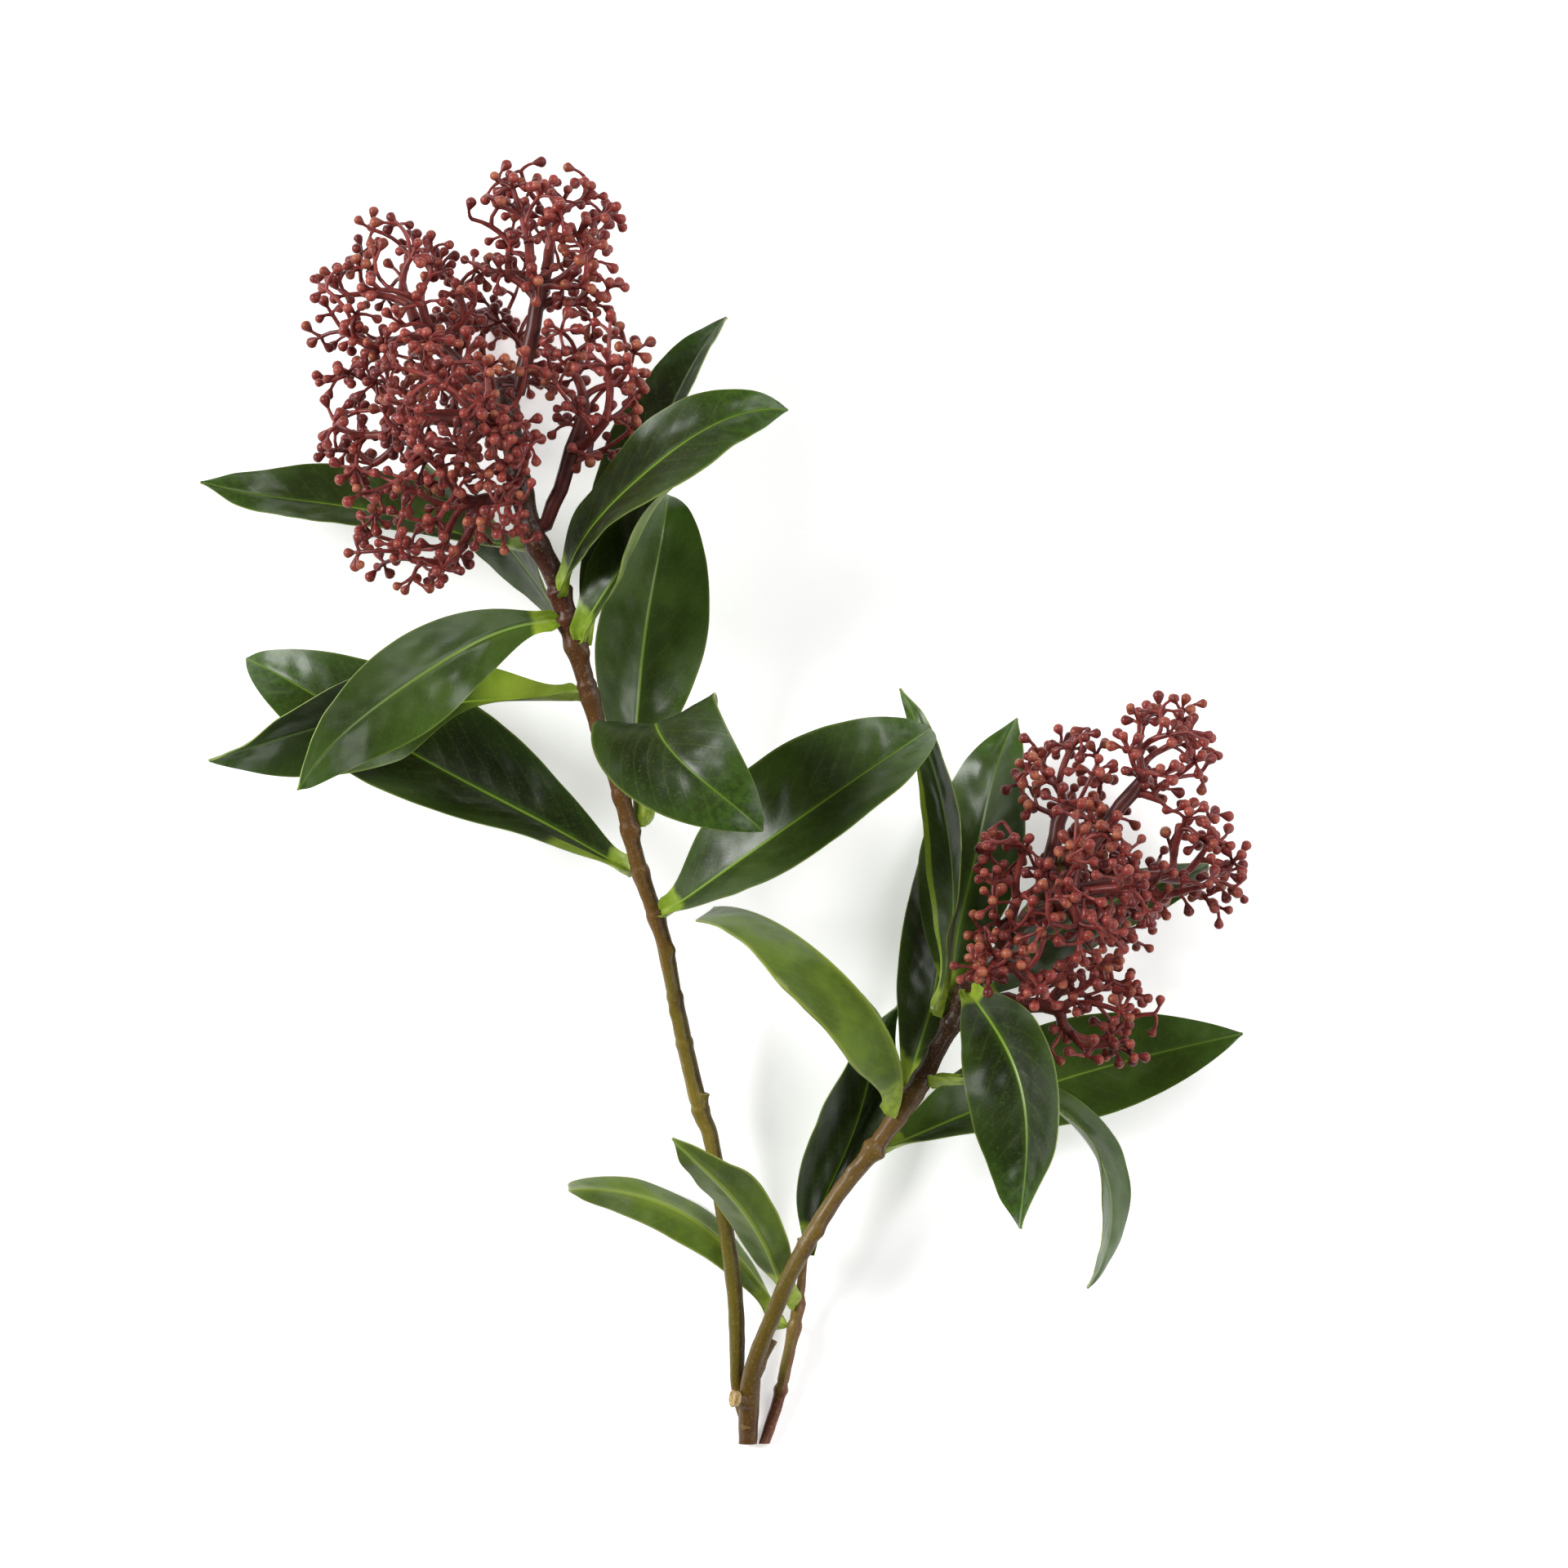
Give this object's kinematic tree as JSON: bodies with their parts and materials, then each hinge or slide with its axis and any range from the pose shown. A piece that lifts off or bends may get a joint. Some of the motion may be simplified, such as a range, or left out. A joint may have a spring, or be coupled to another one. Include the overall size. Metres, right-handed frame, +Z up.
{
  "type": "artificial skimmia branch",
  "caption": "Cut spray of artificial skimmia lying flat, with forked stems, glossy lance-shaped leaves and open heads of small red flower buds.",
  "frame": {"origin": "centre of the underside of the spray's box, on the surface that it lies on", "axes": "+Z up, +Y along the stems from the cut end to the furthest head, +X across the spray towards the right-hand head"},
  "size_m": [0.3106, 0.3776, 0.1034],
  "materials": {
    "stem_bark": "moulded bark in olive and red-brown, satin, with rings and scars",
    "leaf_blade": "dark green coated leaf, glossy above, lighter and duller below, with a pale midrib",
    "bud_sprig": "brick-red moulded buds with paler tips on dark red stalks, satin"
  },
  "bodies": {
    "root": {"trunk": "stem_bark", "left_stem": "stem_bark", "side_twig": "stem_bark", "upper_leaf_01": "leaf_blade", "upper_leaf_02": "leaf_blade", "upper_leaf_03": "leaf_blade", "upper_leaf_04": "leaf_blade", "upper_leaf_05": "leaf_blade", "upper_leaf_06": "leaf_blade", "upper_leaf_07": "leaf_blade", "upper_leaf_08": "leaf_blade", "upper_leaf_09": "leaf_blade", "upper_leaf_10": "leaf_blade", "upper_leaf_11": "leaf_blade", "right_leaf_01": "leaf_blade", "right_leaf_02": "leaf_blade", "right_leaf_03": "leaf_blade", "right_leaf_04": "leaf_blade", "right_leaf_05": "leaf_blade", "right_leaf_06": "leaf_blade", "right_leaf_07": "leaf_blade", "right_leaf_08": "leaf_blade", "twig_leaf_01": "leaf_blade", "twig_leaf_02": "leaf_blade", "twig_leaf_03": "leaf_blade", "left_sprig_top": "bud_sprig", "left_sprig_far": "bud_sprig", "left_sprig_right": "bud_sprig", "left_sprig_front": "bud_sprig", "left_sprig_low": "bud_sprig", "left_sprig_near": "bud_sprig", "left_sprig_side": "bud_sprig", "left_sprig_back": "bud_sprig", "right_sprig_top": "bud_sprig", "right_sprig_left": "bud_sprig", "right_sprig_far": "bud_sprig", "right_sprig_low": "bud_sprig", "right_sprig_side": "bud_sprig", "right_sprig_front": "bud_sprig", "right_sprig_near": "bud_sprig", "right_sprig_back": "bud_sprig"}
  },
  "joints": []
}
